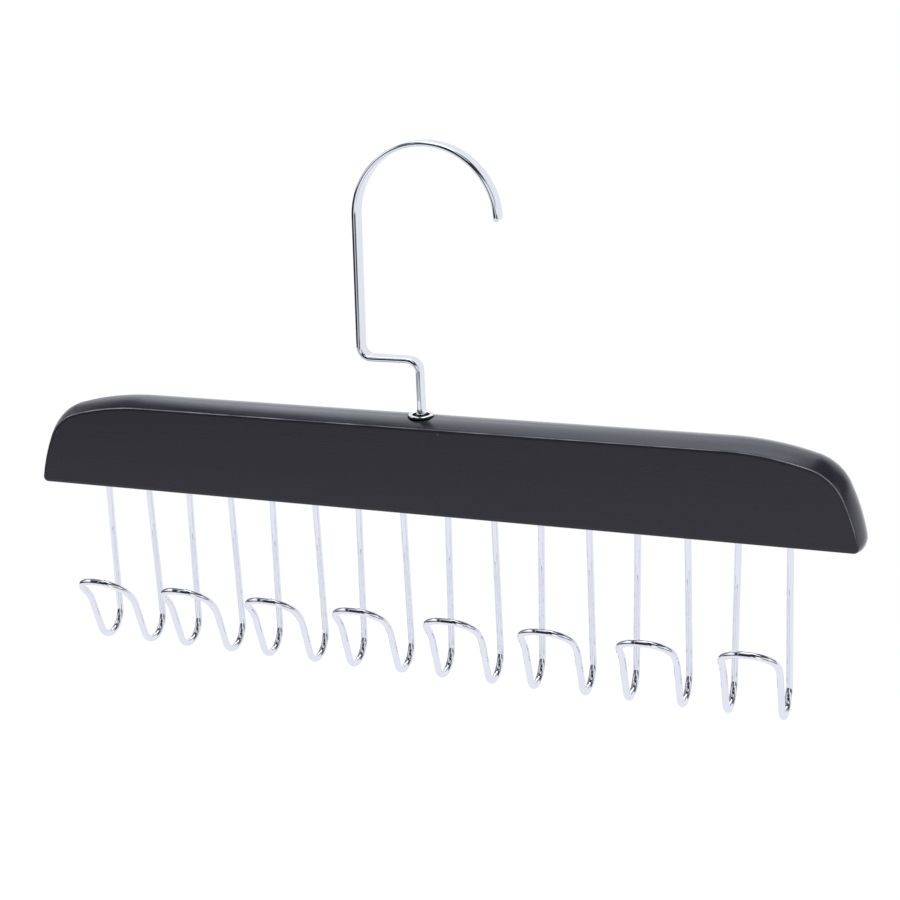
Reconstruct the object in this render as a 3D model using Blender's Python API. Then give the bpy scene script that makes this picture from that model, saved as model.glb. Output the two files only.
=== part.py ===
"""Belt hanger: a wooden bar with eight wire belt hooks under a swivelling steel hook.

Metres, +Z up, +X along the bar, -Y towards the front. The world's origin is the rod seat,
the highest point inside the hook's arch, where the hanger hangs on a closet rod.
"""
import math

import bmesh
import bpy
from mathutils import Vector

# Wooden bar
BAR_END_MARGIN = 0.0271
BAR_HEIGHT = 0.0367
BAR_THICKNESS = 0.0200
CROWN_TOP = 0.0024
CROWN_END = 0.0019
CROWN_SWELL = 0.0010
CORNER_RADIUS = 0.0203
SHOULDER_RADIUS = 0.1170
FOOT_RADIUS = 0.0018
EDGE_EASE = 0.0004
END_LEAN = math.radians(10.4)
END_SWEEP = math.radians(15.0)
SHOULDER_SWEEP = math.radians(16.4)
CROWN_POWER = 1.9

# Swivel hook
SHANK_DIAMETER = 0.0046
STRIP_WIDTH = 0.0075
STRIP_THICKNESS = 0.0019
STRIP_EDGE_RADIUS = 0.0009
STRIP_TIP_EASE = 0.0004
ARCH_RADIUS = 0.0296
ARCH_OFFSET = 0.0061
ARCH_RISE = 0.0805
NECK_OFFSET = 0.0246
NECK_RISE = 0.0234
NECK_BEND_RADIUS = 0.0049
FLATTEN_RISE = 0.0012
FLATTEN_LENGTH = 0.0032
TIP_ANGLE = math.radians(2.2)

# Hook's end under the bar
SHANK_SHOULDER = 0.0003
THREAD_OVERRUN = 0.0010
THREAD_CHAMFER = 0.0004

# Ferrule in the top of the bar
SLEEVE_WALL = 0.0010
SLEEVE_LENGTH = 0.0080
FERRULE_REACH = 0.0019
FERRULE_RIM = 0.0009
FERRULE_RISE = 0.0011
FERRULE_FLOOR = 0.0005
FERRULE_CREST = 0.0006
FERRULE_EDGE_RADIUS = 0.0003

# Washer, nut and nylon ring in the counterbore
INSERT_WALL = 0.0005
INSERT_HEIGHT = 0.0009
NUT_LIP = 0.0004
NUT_COLLAR_STEP = 0.0001
NUT_HEX_HEIGHT = 0.0027
NUT_RECESS = 0.0020
WASHER_REACH = 0.0010
WASHER_THICKNESS = 0.0008
COUNTERBORE_REACH = 0.0013

# Belt hooks of round wire
HOOK_COUNT = 8
LEG_PITCH = 0.0200
WIRE_DIAMETER = 0.0028
LEG_LENGTH = 0.0615
LEG_DEPTH = 0.0160
LEG_SPLAY = 0.0009
J_RADIUS = 0.0086
FRONT_LENGTH = 0.0142
FLARE_RADIUS = 0.0188
TAIL_LENGTH = 0.0113
HAIRPIN_DEPTH = 0.0114
J_SWEEP = math.radians(162.0)
FLARE_SWEEP = math.radians(25.6)
HAIRPIN_POWER = 2.3

# Clearances
SEAT_GAP = 0.0003
RUNNING_GAP = 0.0002
CUT_OVERRUN = 0.0010
MERGE_DISTANCE = 0.000001

# Counts of points and sides
LEVELS = 8
OUTLINE_STEPS = 8
ROUND_SIDES = 32
NUT_SIDES = 48
LEG_HOLE_SIDES = 16
DISH_STEPS = 4
SECTION_STEPS = 4
ARCH_STEPS = 28
NECK_STEPS = 6
FLATTEN_STEPS = 5
WIRE_LEG_STEPS = 3
WIRE_BEND_STEPS = 12
WIRE_ARCH_STEPS = 9
WIRE_BEVEL_RESOLUTION = 3
SMOOTH_ANGLE = math.radians(35.0)

# Sizes that follow from the others
BAR_LENGTH = (2 * HOOK_COUNT - 1) * LEG_PITCH + 2 * BAR_END_MARGIN
CORNER_START = END_LEAN + END_SWEEP
CORNER_END = math.pi / 2 - SHOULDER_SWEEP
THREAD_DIAMETER = SHANK_DIAMETER - 2 * SHANK_SHOULDER
SHANK_BORE = SHANK_DIAMETER + 2 * RUNNING_GAP
THREAD_BORE = THREAD_DIAMETER + 2 * RUNNING_GAP
SLEEVE_DIAMETER = SHANK_BORE + 2 * SLEEVE_WALL
FERRULE_DIAMETER = SLEEVE_DIAMETER + 2 * FERRULE_REACH
INSERT_DIAMETER = THREAD_BORE + 2 * INSERT_WALL
GROOVE_DIAMETER = INSERT_DIAMETER + 2 * SEAT_GAP
NUT_COLLAR_DIAMETER = GROOVE_DIAMETER + 2 * NUT_LIP
NUT_COLLAR_HEIGHT = INSERT_HEIGHT + 2 * SEAT_GAP + 2 * NUT_LIP
NUT_WIDTH = NUT_COLLAR_DIAMETER + 2 * NUT_COLLAR_STEP
WASHER_DIAMETER = NUT_WIDTH + 2 * WASHER_REACH
COUNTERBORE_DIAMETER = WASHER_DIAMETER + 2 * COUNTERBORE_REACH

# Places that follow from the sizes, from the bar's underside up
BAR_TOP = BAR_HEIGHT + CROWN_TOP
ARCH_CENTRE_Z = BAR_TOP + ARCH_RISE
NECK_Z = BAR_TOP + NECK_RISE
ROD_SEAT_Z = ARCH_CENTRE_Z + ARCH_RADIUS - STRIP_THICKNESS / 2
FLATTEN_Z = BAR_TOP + FLATTEN_RISE
FERRULE_SEAT_Z = BAR_TOP - FERRULE_RIM
NUT_HEIGHT = NUT_HEX_HEIGHT + NUT_COLLAR_HEIGHT
THREAD_END_Z = NUT_RECESS - THREAD_OVERRUN
NUT_TOP_Z = NUT_RECESS + NUT_HEIGHT
WASHER_TOP_Z = NUT_TOP_Z + SEAT_GAP + WASHER_THICKNESS
COUNTERBORE_Z = WASHER_TOP_Z + SEAT_GAP
SHOULDER_Z = WASHER_TOP_Z + SEAT_GAP

BLACK_LACQUER = ((0.030, 0.030, 0.036, 1.0), 0.45, 0.0)
CHROME = ((0.80, 0.81, 0.83, 1.0), 0.08, 1.0)
ZINC = ((0.62, 0.63, 0.62, 1.0), 0.30, 1.0)
NYLON = ((0.80, 0.80, 0.76, 1.0), 0.55, 0.0)


def clear_scene():
    """Remove every object that the file starts with."""
    for old in list(bpy.data.objects):
        bpy.data.objects.remove(old, do_unlink=True)


def give_material(data, name, finish):
    """Give an object's data its own Principled material."""
    colour, roughness, metallic = finish
    material = bpy.data.materials.new(name)
    material.use_nodes = True
    shader = material.node_tree.nodes["Principled BSDF"]
    shader.inputs["Base Color"].default_value = colour
    shader.inputs["Roughness"].default_value = roughness
    shader.inputs["Metallic"].default_value = metallic
    material.diffuse_color = colour
    data.materials.clear()
    data.materials.append(material)


def add_object(name, data, parent=None):
    """Link a named object to the scene, under its parent."""
    piece = bpy.data.objects.new(name, data)
    bpy.context.scene.collection.objects.link(piece)
    piece.parent = parent
    return piece


def mesh_from_rings(name, rings, closed=False):
    """Skin a list of rings of points and close both ends, or join the last ring to the first."""
    bm = bmesh.new()
    loops = [[bm.verts.new(point) for point in ring] for ring in rings]
    pairs = list(zip(loops, loops[1:]))
    if closed:
        pairs.append((loops[-1], loops[0]))
    for low, high in pairs:
        for index in range(len(low)):
            after = (index + 1) % len(low)
            bm.faces.new((low[index], low[after], high[after], high[index]))
    if not closed:
        bm.faces.new(list(reversed(loops[0])))
        bm.faces.new(loops[-1])
    bmesh.ops.recalc_face_normals(bm, faces=bm.faces)
    mesh = bpy.data.meshes.new(name)
    bm.to_mesh(mesh)
    bm.free()
    return mesh


def shade_round(mesh):
    """Shade smooth, with creases at the sharp edges."""
    mesh.shade_smooth()
    mesh.set_sharp_from_angle(angle=SMOOTH_ANGLE)


def turned_mesh(name, profile):
    """Spin a closed profile of (radius, height) points about Z."""
    bm = bmesh.new()
    corners = [bm.verts.new((radius, 0.0, height)) for radius, height in profile]
    for index, corner in enumerate(corners):
        bm.edges.new((corner, corners[index - 1]))
    bmesh.ops.spin(
        bm,
        geom=bm.verts[:] + bm.edges[:],
        cent=(0.0, 0.0, 0.0),
        axis=(0.0, 0.0, 1.0),
        angle=math.tau,
        steps=ROUND_SIDES,
        use_merge=True,
    )
    bmesh.ops.remove_doubles(bm, verts=bm.verts, dist=MERGE_DISTANCE)
    bmesh.ops.recalc_face_normals(bm, faces=bm.faces)
    mesh = bpy.data.meshes.new(name)
    bm.to_mesh(mesh)
    bm.free()
    return mesh


def cutter(name, mesh, parent):
    """A hidden solid that only cuts others."""
    tool = add_object(name, mesh, parent)
    tool.hide_render = True
    tool.display_type = "WIRE"
    return tool


def cut(piece, tool):
    """Subtract a cutter from a piece."""
    modifier = piece.modifiers.new(tool.name, "BOOLEAN")
    modifier.operation = "DIFFERENCE"
    modifier.solver = "EXACT"
    modifier.object = tool


def arc(centre, radius, start, end, steps):
    """Points on an arc after its first one, as (x, z) pairs."""
    points = []
    for step in range(1, steps + 1):
        angle = start + (end - start) * step / steps
        points.append((centre[0] + radius * math.cos(angle), centre[1] + radius * math.sin(angle)))
    return points


def end_outline():
    """Half of the bar's front outline: foot, leaning end, corner and shoulder, then the middle."""
    corner_height = CORNER_RADIUS * (math.sin(CORNER_END) - math.sin(CORNER_START))
    shoulder_height = SHOULDER_RADIUS * (1 - math.sin(CORNER_END))
    end_height = BAR_HEIGHT - corner_height - shoulder_height
    end_radius = end_height / (math.sin(CORNER_START) - math.sin(END_LEAN))
    start = (BAR_LENGTH / 2, 0.0)
    points = []
    runs = (
        (end_radius, END_LEAN, CORNER_START),
        (CORNER_RADIUS, CORNER_START, CORNER_END),
        (SHOULDER_RADIUS, CORNER_END, math.pi / 2),
    )
    for radius, low, high in runs:
        centre = (start[0] - radius * math.cos(low), start[1] - radius * math.sin(low))
        points += arc(centre, radius, low, high, OUTLINE_STEPS)
        start = points[-1]
    end_centre = (BAR_LENGTH / 2 - end_radius * math.cos(END_LEAN), -end_radius * math.sin(END_LEAN))
    return foot_points(end_centre, end_radius) + [p for p in points if p[1] > FOOT_RADIUS]


def foot_points(end_centre, end_radius):
    """The small round between the underside and the leaning end."""
    reach = end_radius - FOOT_RADIUS
    rise = FOOT_RADIUS - end_centre[1]
    foot_centre = (end_centre[0] + math.sqrt(reach * reach - rise * rise), FOOT_RADIUS)
    meets = math.atan2(rise, foot_centre[0] - end_centre[0])
    start = (foot_centre[0], 0.0)
    return [start] + arc(foot_centre, FOOT_RADIUS, -math.pi / 2, meets, OUTLINE_STEPS // 2)


def bar_outline():
    """The front outline as a closed loop of (x, z) with the outward normal at each point."""
    half = end_outline()
    loop = half + [(-x, z) for x, z in reversed(half)]
    outline = []
    for index, (x, z) in enumerate(loop):
        before = loop[index - 1]
        after = loop[(index + 1) % len(loop)]
        normal = Vector((after[1] - before[1], before[0] - after[0])).normalized()
        outline.append((x, z, normal))
    return outline


def crown(normal, share):
    """How far the crown lifts the surface at a share of the half thickness, none underneath."""
    upward = max(normal.y, 0.0)
    sideways = abs(normal.x)
    swell = 2 * CROWN_SWELL * upward * sideways
    height = CROWN_TOP * upward * upward + CROWN_END * sideways * sideways + swell
    return height * (1 - abs(share) ** CROWN_POWER)


def bar_ring(outline, y, inset):
    """One ring of the bar's skin at a depth."""
    share = 2 * y / BAR_THICKNESS
    ring = []
    for x, z, normal in outline:
        lift = crown(normal, share) - inset
        ring.append((x + normal.x * lift, y, max(z + normal.y * lift, 0.0)))
    return ring


def bar_mesh():
    """The bar's solid: flat faces with eased edges, a crowned top and ends, a flat underside."""
    outline = bar_outline()
    half = BAR_THICKNESS / 2
    reach = half - EDGE_EASE
    depths = [-reach + 2 * reach * step / LEVELS for step in range(LEVELS + 1)]
    rings = [bar_ring(outline, -half, EDGE_EASE)]
    rings += [bar_ring(outline, y, 0.0) for y in depths]
    rings.append(bar_ring(outline, half, EDGE_EASE))
    mesh = mesh_from_rings("wooden_bar", rings)
    shade_round(mesh)
    return mesh


def leg_places():
    """X of each belt hook's middle."""
    first = -(HOOK_COUNT - 1) * LEG_PITCH
    return [first + 2 * LEG_PITCH * index for index in range(HOOK_COUNT)]


def leg_hole_mesh():
    """All the blind leg holes as one cutter of separate cylinders."""
    bm = bmesh.new()
    height = LEG_DEPTH + CUT_OVERRUN + SEAT_GAP
    radius = WIRE_DIAMETER / 2 + SEAT_GAP
    for middle in leg_places():
        for side in (-1, 1):
            made = bmesh.ops.create_cone(
                bm, cap_ends=True, segments=LEG_HOLE_SIDES, radius1=radius, radius2=radius, depth=height
            )
            centre = Vector((middle + side * LEG_PITCH / 2, 0.0, height / 2 - CUT_OVERRUN))
            bmesh.ops.translate(bm, verts=made["verts"], vec=centre)
    mesh = bpy.data.meshes.new("leg_holes")
    bm.to_mesh(mesh)
    bm.free()
    return mesh


def shank_bore_mesh():
    """The stepped hole for the shank: counterbore, bore, sleeve seat and flange seat."""
    sleeve_hole = SLEEVE_DIAMETER / 2 + SEAT_GAP
    flange_hole = FERRULE_DIAMETER / 2 + SEAT_GAP
    sleeve_floor = FERRULE_SEAT_Z - SLEEVE_LENGTH - SEAT_GAP
    flange_floor = FERRULE_SEAT_Z - SEAT_GAP
    profile = [
        (0.0, -CUT_OVERRUN),
        (COUNTERBORE_DIAMETER / 2, -CUT_OVERRUN),
        (COUNTERBORE_DIAMETER / 2, COUNTERBORE_Z),
        (SHANK_BORE / 2, COUNTERBORE_Z),
        (SHANK_BORE / 2, sleeve_floor),
        (sleeve_hole, sleeve_floor),
        (sleeve_hole, flange_floor),
        (flange_hole, flange_floor),
        (flange_hole, BAR_TOP + CUT_OVERRUN),
        (0.0, BAR_TOP + CUT_OVERRUN),
    ]
    return turned_mesh("shank_bore", profile)


def make_bar(parent):
    """The wooden bar with its holes."""
    bar = add_object("wooden_bar", bar_mesh(), parent)
    give_material(bar.data, "wooden_bar", BLACK_LACQUER)
    cut(bar, cutter("cut_leg_holes", leg_hole_mesh(), parent))
    cut(bar, cutter("cut_shank_bore", shank_bore_mesh(), parent))
    return bar


def make_ferrule(parent):
    """The dished eyelet with its sleeve, pressed into the top of the bar."""
    bore = SHANK_BORE / 2
    rim = FERRULE_DIAMETER / 2
    lip = min(FERRULE_EDGE_RADIUS, FERRULE_RIM / 3)
    crest = BAR_TOP + FERRULE_RISE
    floor = FERRULE_SEAT_Z + FERRULE_FLOOR
    dish = rim - lip - FERRULE_CREST
    profile = [
        (bore, FERRULE_SEAT_Z - SLEEVE_LENGTH),
        (SLEEVE_DIAMETER / 2, FERRULE_SEAT_Z - SLEEVE_LENGTH),
        (SLEEVE_DIAMETER / 2, FERRULE_SEAT_Z),
        (rim - lip, FERRULE_SEAT_Z),
        (rim, FERRULE_SEAT_Z + lip),
        (rim, crest - lip),
        (rim - lip, crest),
        (dish, crest),
    ]
    for step in range(1, DISH_STEPS + 1):
        share = step / DISH_STEPS
        height = floor + (crest - floor) * (1 - share) * (1 - share)
        profile.append((dish + (bore - dish) * share, height))
    mesh = turned_mesh("top_ferrule", profile)
    shade_round(mesh)
    give_material(mesh, "top_ferrule", CHROME)
    return add_object("top_ferrule", mesh, parent)


def make_washer(parent):
    """The washer that carries the bar on the shank."""
    bore = THREAD_BORE / 2
    base = WASHER_TOP_Z - WASHER_THICKNESS
    profile = [
        (bore, base),
        (WASHER_DIAMETER / 2, base),
        (WASHER_DIAMETER / 2, WASHER_TOP_Z),
        (bore, WASHER_TOP_Z),
    ]
    mesh = turned_mesh("thrust_washer", profile)
    shade_round(mesh)
    give_material(mesh, "thrust_washer", ZINC)
    return add_object("thrust_washer", mesh, parent)


def hexagon_radius(angle):
    """Distance from a hexagon's centre to its side in one direction."""
    sector = math.tau / 6
    return NUT_WIDTH / 2 / math.cos((angle + sector / 2) % sector - sector / 2)


def make_nut(parent):
    """The lock nut: hexagon above, round collar below, with a groove for the nylon ring."""
    thread = THREAD_BORE / 2
    groove = GROOVE_DIAMETER / 2
    collar_top = NUT_RECESS + NUT_COLLAR_HEIGHT
    rings = []
    for step in range(NUT_SIDES):
        angle = math.tau * step / NUT_SIDES
        flat = hexagon_radius(angle)
        profile = [
            (thread, NUT_TOP_Z),
            (flat, NUT_TOP_Z),
            (flat, collar_top),
            (NUT_COLLAR_DIAMETER / 2, collar_top),
            (NUT_COLLAR_DIAMETER / 2, NUT_RECESS),
            (thread, NUT_RECESS),
            (thread, NUT_RECESS + NUT_LIP),
            (groove, NUT_RECESS + NUT_LIP),
            (groove, collar_top - NUT_LIP),
            (thread, collar_top - NUT_LIP),
        ]
        rings.append([(r * math.cos(angle), r * math.sin(angle), z) for r, z in profile])
    mesh = mesh_from_rings("lock_nut", rings, closed=True)
    shade_round(mesh)
    give_material(mesh, "lock_nut", ZINC)
    return add_object("lock_nut", mesh, parent)


def make_nut_insert(parent):
    """The nylon ring that grips the thread."""
    bore = THREAD_BORE / 2
    base = NUT_RECESS + NUT_LIP + SEAT_GAP
    profile = [
        (bore, base),
        (INSERT_DIAMETER / 2, base),
        (INSERT_DIAMETER / 2, base + INSERT_HEIGHT),
        (bore, base + INSERT_HEIGHT),
    ]
    mesh = turned_mesh("lock_nut_insert", profile)
    shade_round(mesh)
    give_material(mesh, "lock_nut_insert", NYLON)
    return add_object("lock_nut_insert", mesh, parent)


def hook_centre_line():
    """Stations up the hook above the flattened shank: (x, z, direction angle) along the strip."""
    stations = []
    bend = NECK_BEND_RADIUS
    for step in range(NECK_STEPS + 1):
        turn = math.pi / 2 * step / NECK_STEPS
        x = -bend + bend * math.cos(turn)
        stations.append((x, NECK_Z - bend + bend * math.sin(turn), math.pi / 2 + turn))
    for step in range(NECK_STEPS + 1):
        turn = math.pi / 2 * step / NECK_STEPS
        x = -NECK_OFFSET + bend - bend * math.sin(turn)
        stations.append((x, NECK_Z + bend - bend * math.cos(turn), math.pi - turn))
    foot = (-NECK_OFFSET, NECK_Z + bend)
    across = ARCH_OFFSET - foot[0]
    up = ARCH_CENTRE_Z - foot[1]
    leans = math.atan2(up, across) + math.asin(ARCH_RADIUS / math.hypot(across, up))
    for step in range(ARCH_STEPS + 1):
        turn = (leans + math.pi / 2) + (TIP_ANGLE - leans - math.pi / 2) * step / ARCH_STEPS
        x = ARCH_OFFSET + ARCH_RADIUS * math.cos(turn)
        stations.append((x, ARCH_CENTRE_Z + ARCH_RADIUS * math.sin(turn), turn - math.pi / 2))
    return stations


def strip_section(thickness, width, radius):
    """A rounded rectangle as (across, depth) points."""
    section = []
    corners = ((1, 1, 0.0), (-1, 1, math.pi / 2), (-1, -1, math.pi), (1, -1, 3 * math.pi / 2))
    for side, front, start in corners:
        centre = (side * (thickness / 2 - radius), front * (width / 2 - radius))
        for step in range(SECTION_STEPS):
            angle = start + math.pi / 2 * step / (SECTION_STEPS - 1)
            section.append((centre[0] + radius * math.cos(angle), centre[1] + radius * math.sin(angle)))
    return section


def round_section(radius):
    """A circle with as many points as the rounded rectangle."""
    section = []
    count = 4 * SECTION_STEPS
    for step in range(count):
        angle = math.tau * (step + 1 / 2) / count
        section.append((radius * math.cos(angle), radius * math.sin(angle)))
    return section


def place_section(section, x, z, heading):
    """Lay a section across the hook at a station."""
    across = Vector((math.sin(heading), 0.0, -math.cos(heading)))
    centre = Vector((x, 0.0, z))
    return [centre + across * a + Vector((0.0, d, 0.0)) for a, d in section]


def blend(first, second, share):
    """A section between two others."""
    return [(a + (c - a) * share, b + (d - b) * share) for (a, b), (c, d) in zip(first, second)]


def make_swivel_hook(parent):
    """The hook: threaded end, round shank, flattened strip, stepped neck and arch."""
    upright = math.pi / 2
    shank = round_section(SHANK_DIAMETER / 2)
    thread = round_section(THREAD_DIAMETER / 2)
    thread_tip = round_section(THREAD_DIAMETER / 2 - THREAD_CHAMFER)
    strip = strip_section(STRIP_THICKNESS, STRIP_WIDTH, STRIP_EDGE_RADIUS)
    tip_thickness = STRIP_THICKNESS - 2 * STRIP_TIP_EASE
    tip_width = STRIP_WIDTH - 2 * STRIP_TIP_EASE
    tip = strip_section(tip_thickness, tip_width, STRIP_EDGE_RADIUS - STRIP_TIP_EASE)
    rings = [
        place_section(thread_tip, 0.0, THREAD_END_Z, upright),
        place_section(thread, 0.0, THREAD_END_Z + THREAD_CHAMFER, upright),
        place_section(thread, 0.0, SHOULDER_Z, upright),
        place_section(shank, 0.0, SHOULDER_Z, upright),
    ]
    for step in range(FLATTEN_STEPS + 1):
        share = step / FLATTEN_STEPS
        eased = share * share * (3 - 2 * share)
        section = blend(shank, strip, eased)
        rings.append(place_section(section, 0.0, FLATTEN_Z + FLATTEN_LENGTH * share, upright))
    stations = hook_centre_line()
    rings += [place_section(strip, x, z, heading) for x, z, heading in stations]
    x, z, heading = stations[-1]
    reach = STRIP_THICKNESS / 2
    end = (x + reach * math.cos(heading), z + reach * math.sin(heading))
    rings.append(place_section(tip, end[0], end[1], heading))
    mesh = mesh_from_rings("swivel_hook", rings)
    shade_round(mesh)
    give_material(mesh, "swivel_hook", CHROME)
    return add_object("swivel_hook", mesh, parent)


def flat_hairpin():
    """Half of the hairpin before it is bent: (half width, length along the leg) points."""
    total = LEG_LENGTH + J_RADIUS * J_SWEEP + FRONT_LENGTH + FLARE_RADIUS * FLARE_SWEEP + TAIL_LENGTH
    root = LEG_PITCH / 2
    foot = root + LEG_SPLAY
    points = [(root, -LEG_DEPTH)]
    for step in range(WIRE_LEG_STEPS):
        share = step / WIRE_LEG_STEPS
        points.append((root + LEG_SPLAY * share, LEG_LENGTH * share))
    bend_end = LEG_LENGTH + J_RADIUS * J_SWEEP
    points += along(foot, LEG_LENGTH, bend_end, WIRE_BEND_STEPS)
    shoulder = total - HAIRPIN_DEPTH
    points += along(foot, bend_end, shoulder, WIRE_ARCH_STEPS // 2)
    for step in range(WIRE_ARCH_STEPS + 1):
        angle = math.pi / 2 * step / WIRE_ARCH_STEPS
        across = foot * max(math.cos(angle), 0.0) ** (2 / HAIRPIN_POWER)
        length = shoulder + HAIRPIN_DEPTH * math.sin(angle) ** (2 / HAIRPIN_POWER)
        points.append((across, length))
    return points


def along(across, start, end, steps):
    """Even points on a straight strand, without its last one."""
    return [(across, start + (end - start) * step / steps) for step in range(steps)]


def bent(length):
    """Where a point at a length along the leg lies once the hairpin is bent: (forward, up)."""
    if length <= LEG_LENGTH:
        return 0.0, -length
    bend_length = J_RADIUS * J_SWEEP
    turned = min(length - LEG_LENGTH, bend_length) / J_RADIUS
    forward = J_RADIUS - J_RADIUS * math.cos(turned)
    up = -LEG_LENGTH - J_RADIUS * math.sin(turned)
    past = length - LEG_LENGTH - bend_length
    if past <= 0.0:
        return forward, up
    climb = J_SWEEP - math.pi / 2
    straight = min(past, FRONT_LENGTH)
    forward += straight * math.cos(climb)
    up += straight * math.sin(climb)
    past -= straight
    flare = min(max(past, 0.0) / FLARE_RADIUS, FLARE_SWEEP)
    forward += FLARE_RADIUS * (math.sin(climb) - math.sin(climb - flare))
    up += FLARE_RADIUS * (math.cos(climb - flare) - math.cos(climb))
    past -= flare * FLARE_RADIUS
    tail = max(past, 0.0)
    return forward + tail * math.cos(climb - flare), up + tail * math.sin(climb - flare)


def belt_hook_curve():
    """The bent hairpin as a round wire."""
    half = []
    for across, length in flat_hairpin():
        forward, up = bent(length)
        half.append((across, -forward, up))
    points = half + [(-x, y, z) for x, y, z in reversed(half[:-1])]
    curve = bpy.data.curves.new("belt_hook", "CURVE")
    curve.dimensions = "3D"
    curve.bevel_depth = WIRE_DIAMETER / 2
    curve.bevel_resolution = WIRE_BEVEL_RESOLUTION
    curve.use_fill_caps = True
    spline = curve.splines.new("POLY")
    spline.points.add(len(points) - 1)
    for place, point in zip(spline.points, points):
        place.co = (*point, 1.0)
    spline.use_smooth = True
    return curve


def make_belt_hooks(parent):
    """The row of wire hooks under the bar."""
    for number, middle in enumerate(leg_places(), start=1):
        name = f"belt_hook_{number}"
        curve = belt_hook_curve()
        give_material(curve, name, CHROME)
        hook = add_object(name, curve, parent)
        hook.location = (middle, 0.0, 0.0)


def main():
    """Build the hanger with the rod seat at the world's origin."""
    clear_scene()
    underside = Vector((-ARCH_OFFSET, 0.0, -ROD_SEAT_Z))
    hook_frame = add_object("hook_frame", None)
    hook_frame.location = underside
    bar_pivot = add_object("bar_pivot", None)
    bar_pivot.location = underside
    make_swivel_hook(hook_frame)
    make_washer(hook_frame)
    make_nut(hook_frame)
    make_nut_insert(hook_frame)
    make_bar(bar_pivot)
    make_ferrule(bar_pivot)
    make_belt_hooks(bar_pivot)
    bpy.context.view_layer.update()


main()
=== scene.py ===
import logging
import math
from collections.abc import Callable, Iterator, Sequence
from contextlib import contextmanager
from dataclasses import dataclass, field
from enum import Enum

import bmesh
import bpy
from bmesh.types import BMFace
from bpy.types import Material, MeshVertex, Node, NodeSocket, NodeTree, Object
from mathutils import Matrix, Vector


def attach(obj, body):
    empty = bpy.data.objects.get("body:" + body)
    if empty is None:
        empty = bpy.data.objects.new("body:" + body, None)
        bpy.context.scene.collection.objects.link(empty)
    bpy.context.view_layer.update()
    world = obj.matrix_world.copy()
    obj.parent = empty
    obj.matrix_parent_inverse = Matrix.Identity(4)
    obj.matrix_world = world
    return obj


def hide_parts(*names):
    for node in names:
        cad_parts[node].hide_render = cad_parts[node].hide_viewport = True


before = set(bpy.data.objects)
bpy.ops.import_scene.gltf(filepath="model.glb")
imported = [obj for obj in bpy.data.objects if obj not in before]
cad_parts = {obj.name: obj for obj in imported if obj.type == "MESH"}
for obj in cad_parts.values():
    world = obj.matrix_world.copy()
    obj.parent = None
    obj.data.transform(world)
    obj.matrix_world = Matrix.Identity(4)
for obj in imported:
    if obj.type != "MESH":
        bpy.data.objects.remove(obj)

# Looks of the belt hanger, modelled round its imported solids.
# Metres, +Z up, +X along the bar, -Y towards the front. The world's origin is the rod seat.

log = logging.getLogger("belt_hanger")

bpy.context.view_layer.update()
UP = Vector((0.0, 0.0, 1.0))
DOWN = Vector((0.0, 0.0, -1.0))
RIGHT = Vector((1.0, 0.0, 0.0))
LEFT = Vector((-1.0, 0.0, 0.0))
FORWARD = Vector((0.0, -1.0, 0.0))
BACK = Vector((0.0, 1.0, 0.0))
# The point where the shank's axis meets the underside of the bar
FOOT = Vector((-0.0061, 0.0, -0.14825))
MERGE = 0.000002


class Body(Enum):
    """The two bodies that pieces ride on."""

    HOOK = "hook"
    BAR = "bar"


class Carving(Enum):
    """What one piece does to another."""

    CUT = "DIFFERENCE"
    TRIM = "INTERSECT"
    ADD = "UNION"


# Tools of the bench


def deselect_all() -> None:
    """Deselect every object."""
    bpy.ops.object.select_all(action="DESELECT")


def take(piece: Object) -> None:
    """Make a piece the only selected and the active one.

    Args:
        piece: The object to work on.
    """
    deselect_all()
    piece.select_set(True)
    bpy.context.view_layer.objects.active = piece


@contextmanager
def editing(piece: Object) -> Iterator[None]:
    """Open a piece in edit mode and close it again.

    Args:
        piece: The object to edit.
    """
    take(piece)
    bpy.ops.object.mode_set(mode="EDIT")
    yield
    bpy.ops.object.mode_set(mode="OBJECT")


def pick_faces(wanted: Callable[[BMFace], bool]) -> None:
    """Select faces by place or normal, in edit mode.

    Args:
        wanted: Says for a face whether it is chosen.
    """
    bpy.ops.mesh.select_mode(type="FACE")
    bpy.ops.mesh.select_all(action="DESELECT")
    mesh = bpy.context.object.data
    bm = bmesh.from_edit_mesh(mesh)
    bm.normal_update()
    for face in filter(wanted, bm.faces):
        face.select_set(True)
    bmesh.update_edit_mesh(mesh)


def merge_doubles() -> None:
    """Merge what lies on one place, in edit mode, and leave everything selected."""
    bpy.ops.mesh.select_all(action="SELECT")
    bpy.ops.mesh.remove_doubles(threshold=MERGE)
    bpy.ops.mesh.select_all(action="SELECT")


def seal(piece: Object) -> None:
    """Merge a piece's doubles and point its faces outwards.

    Args:
        piece: The object to close.
    """
    with editing(piece):
        merge_doubles()
        bpy.ops.mesh.normals_make_consistent(inside=False)


def settle(piece: Object) -> None:
    """Put a piece's place into its mesh, so that its object is at the origin."""
    take(piece)
    bpy.ops.object.transform_apply(location=True, rotation=True, scale=True)


def named(name: str) -> Object:
    """Name the primitive that was just added, and settle it.

    Args:
        name: Its name.

    Returns:
        The primitive.
    """
    piece = bpy.context.object
    piece.name = name
    settle(piece)
    return piece


def smooth(piece: Object, degrees: float = 32.0) -> None:
    """Shade a piece smooth, but for edges above an angle in degrees."""
    take(piece)
    bpy.ops.object.shade_smooth_by_angle(angle=math.radians(degrees))


def apply_modifier(piece: Object, name: str) -> None:
    """Apply a piece's modifier of that name."""
    take(piece)
    bpy.ops.object.modifier_apply(modifier=name)


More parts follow.
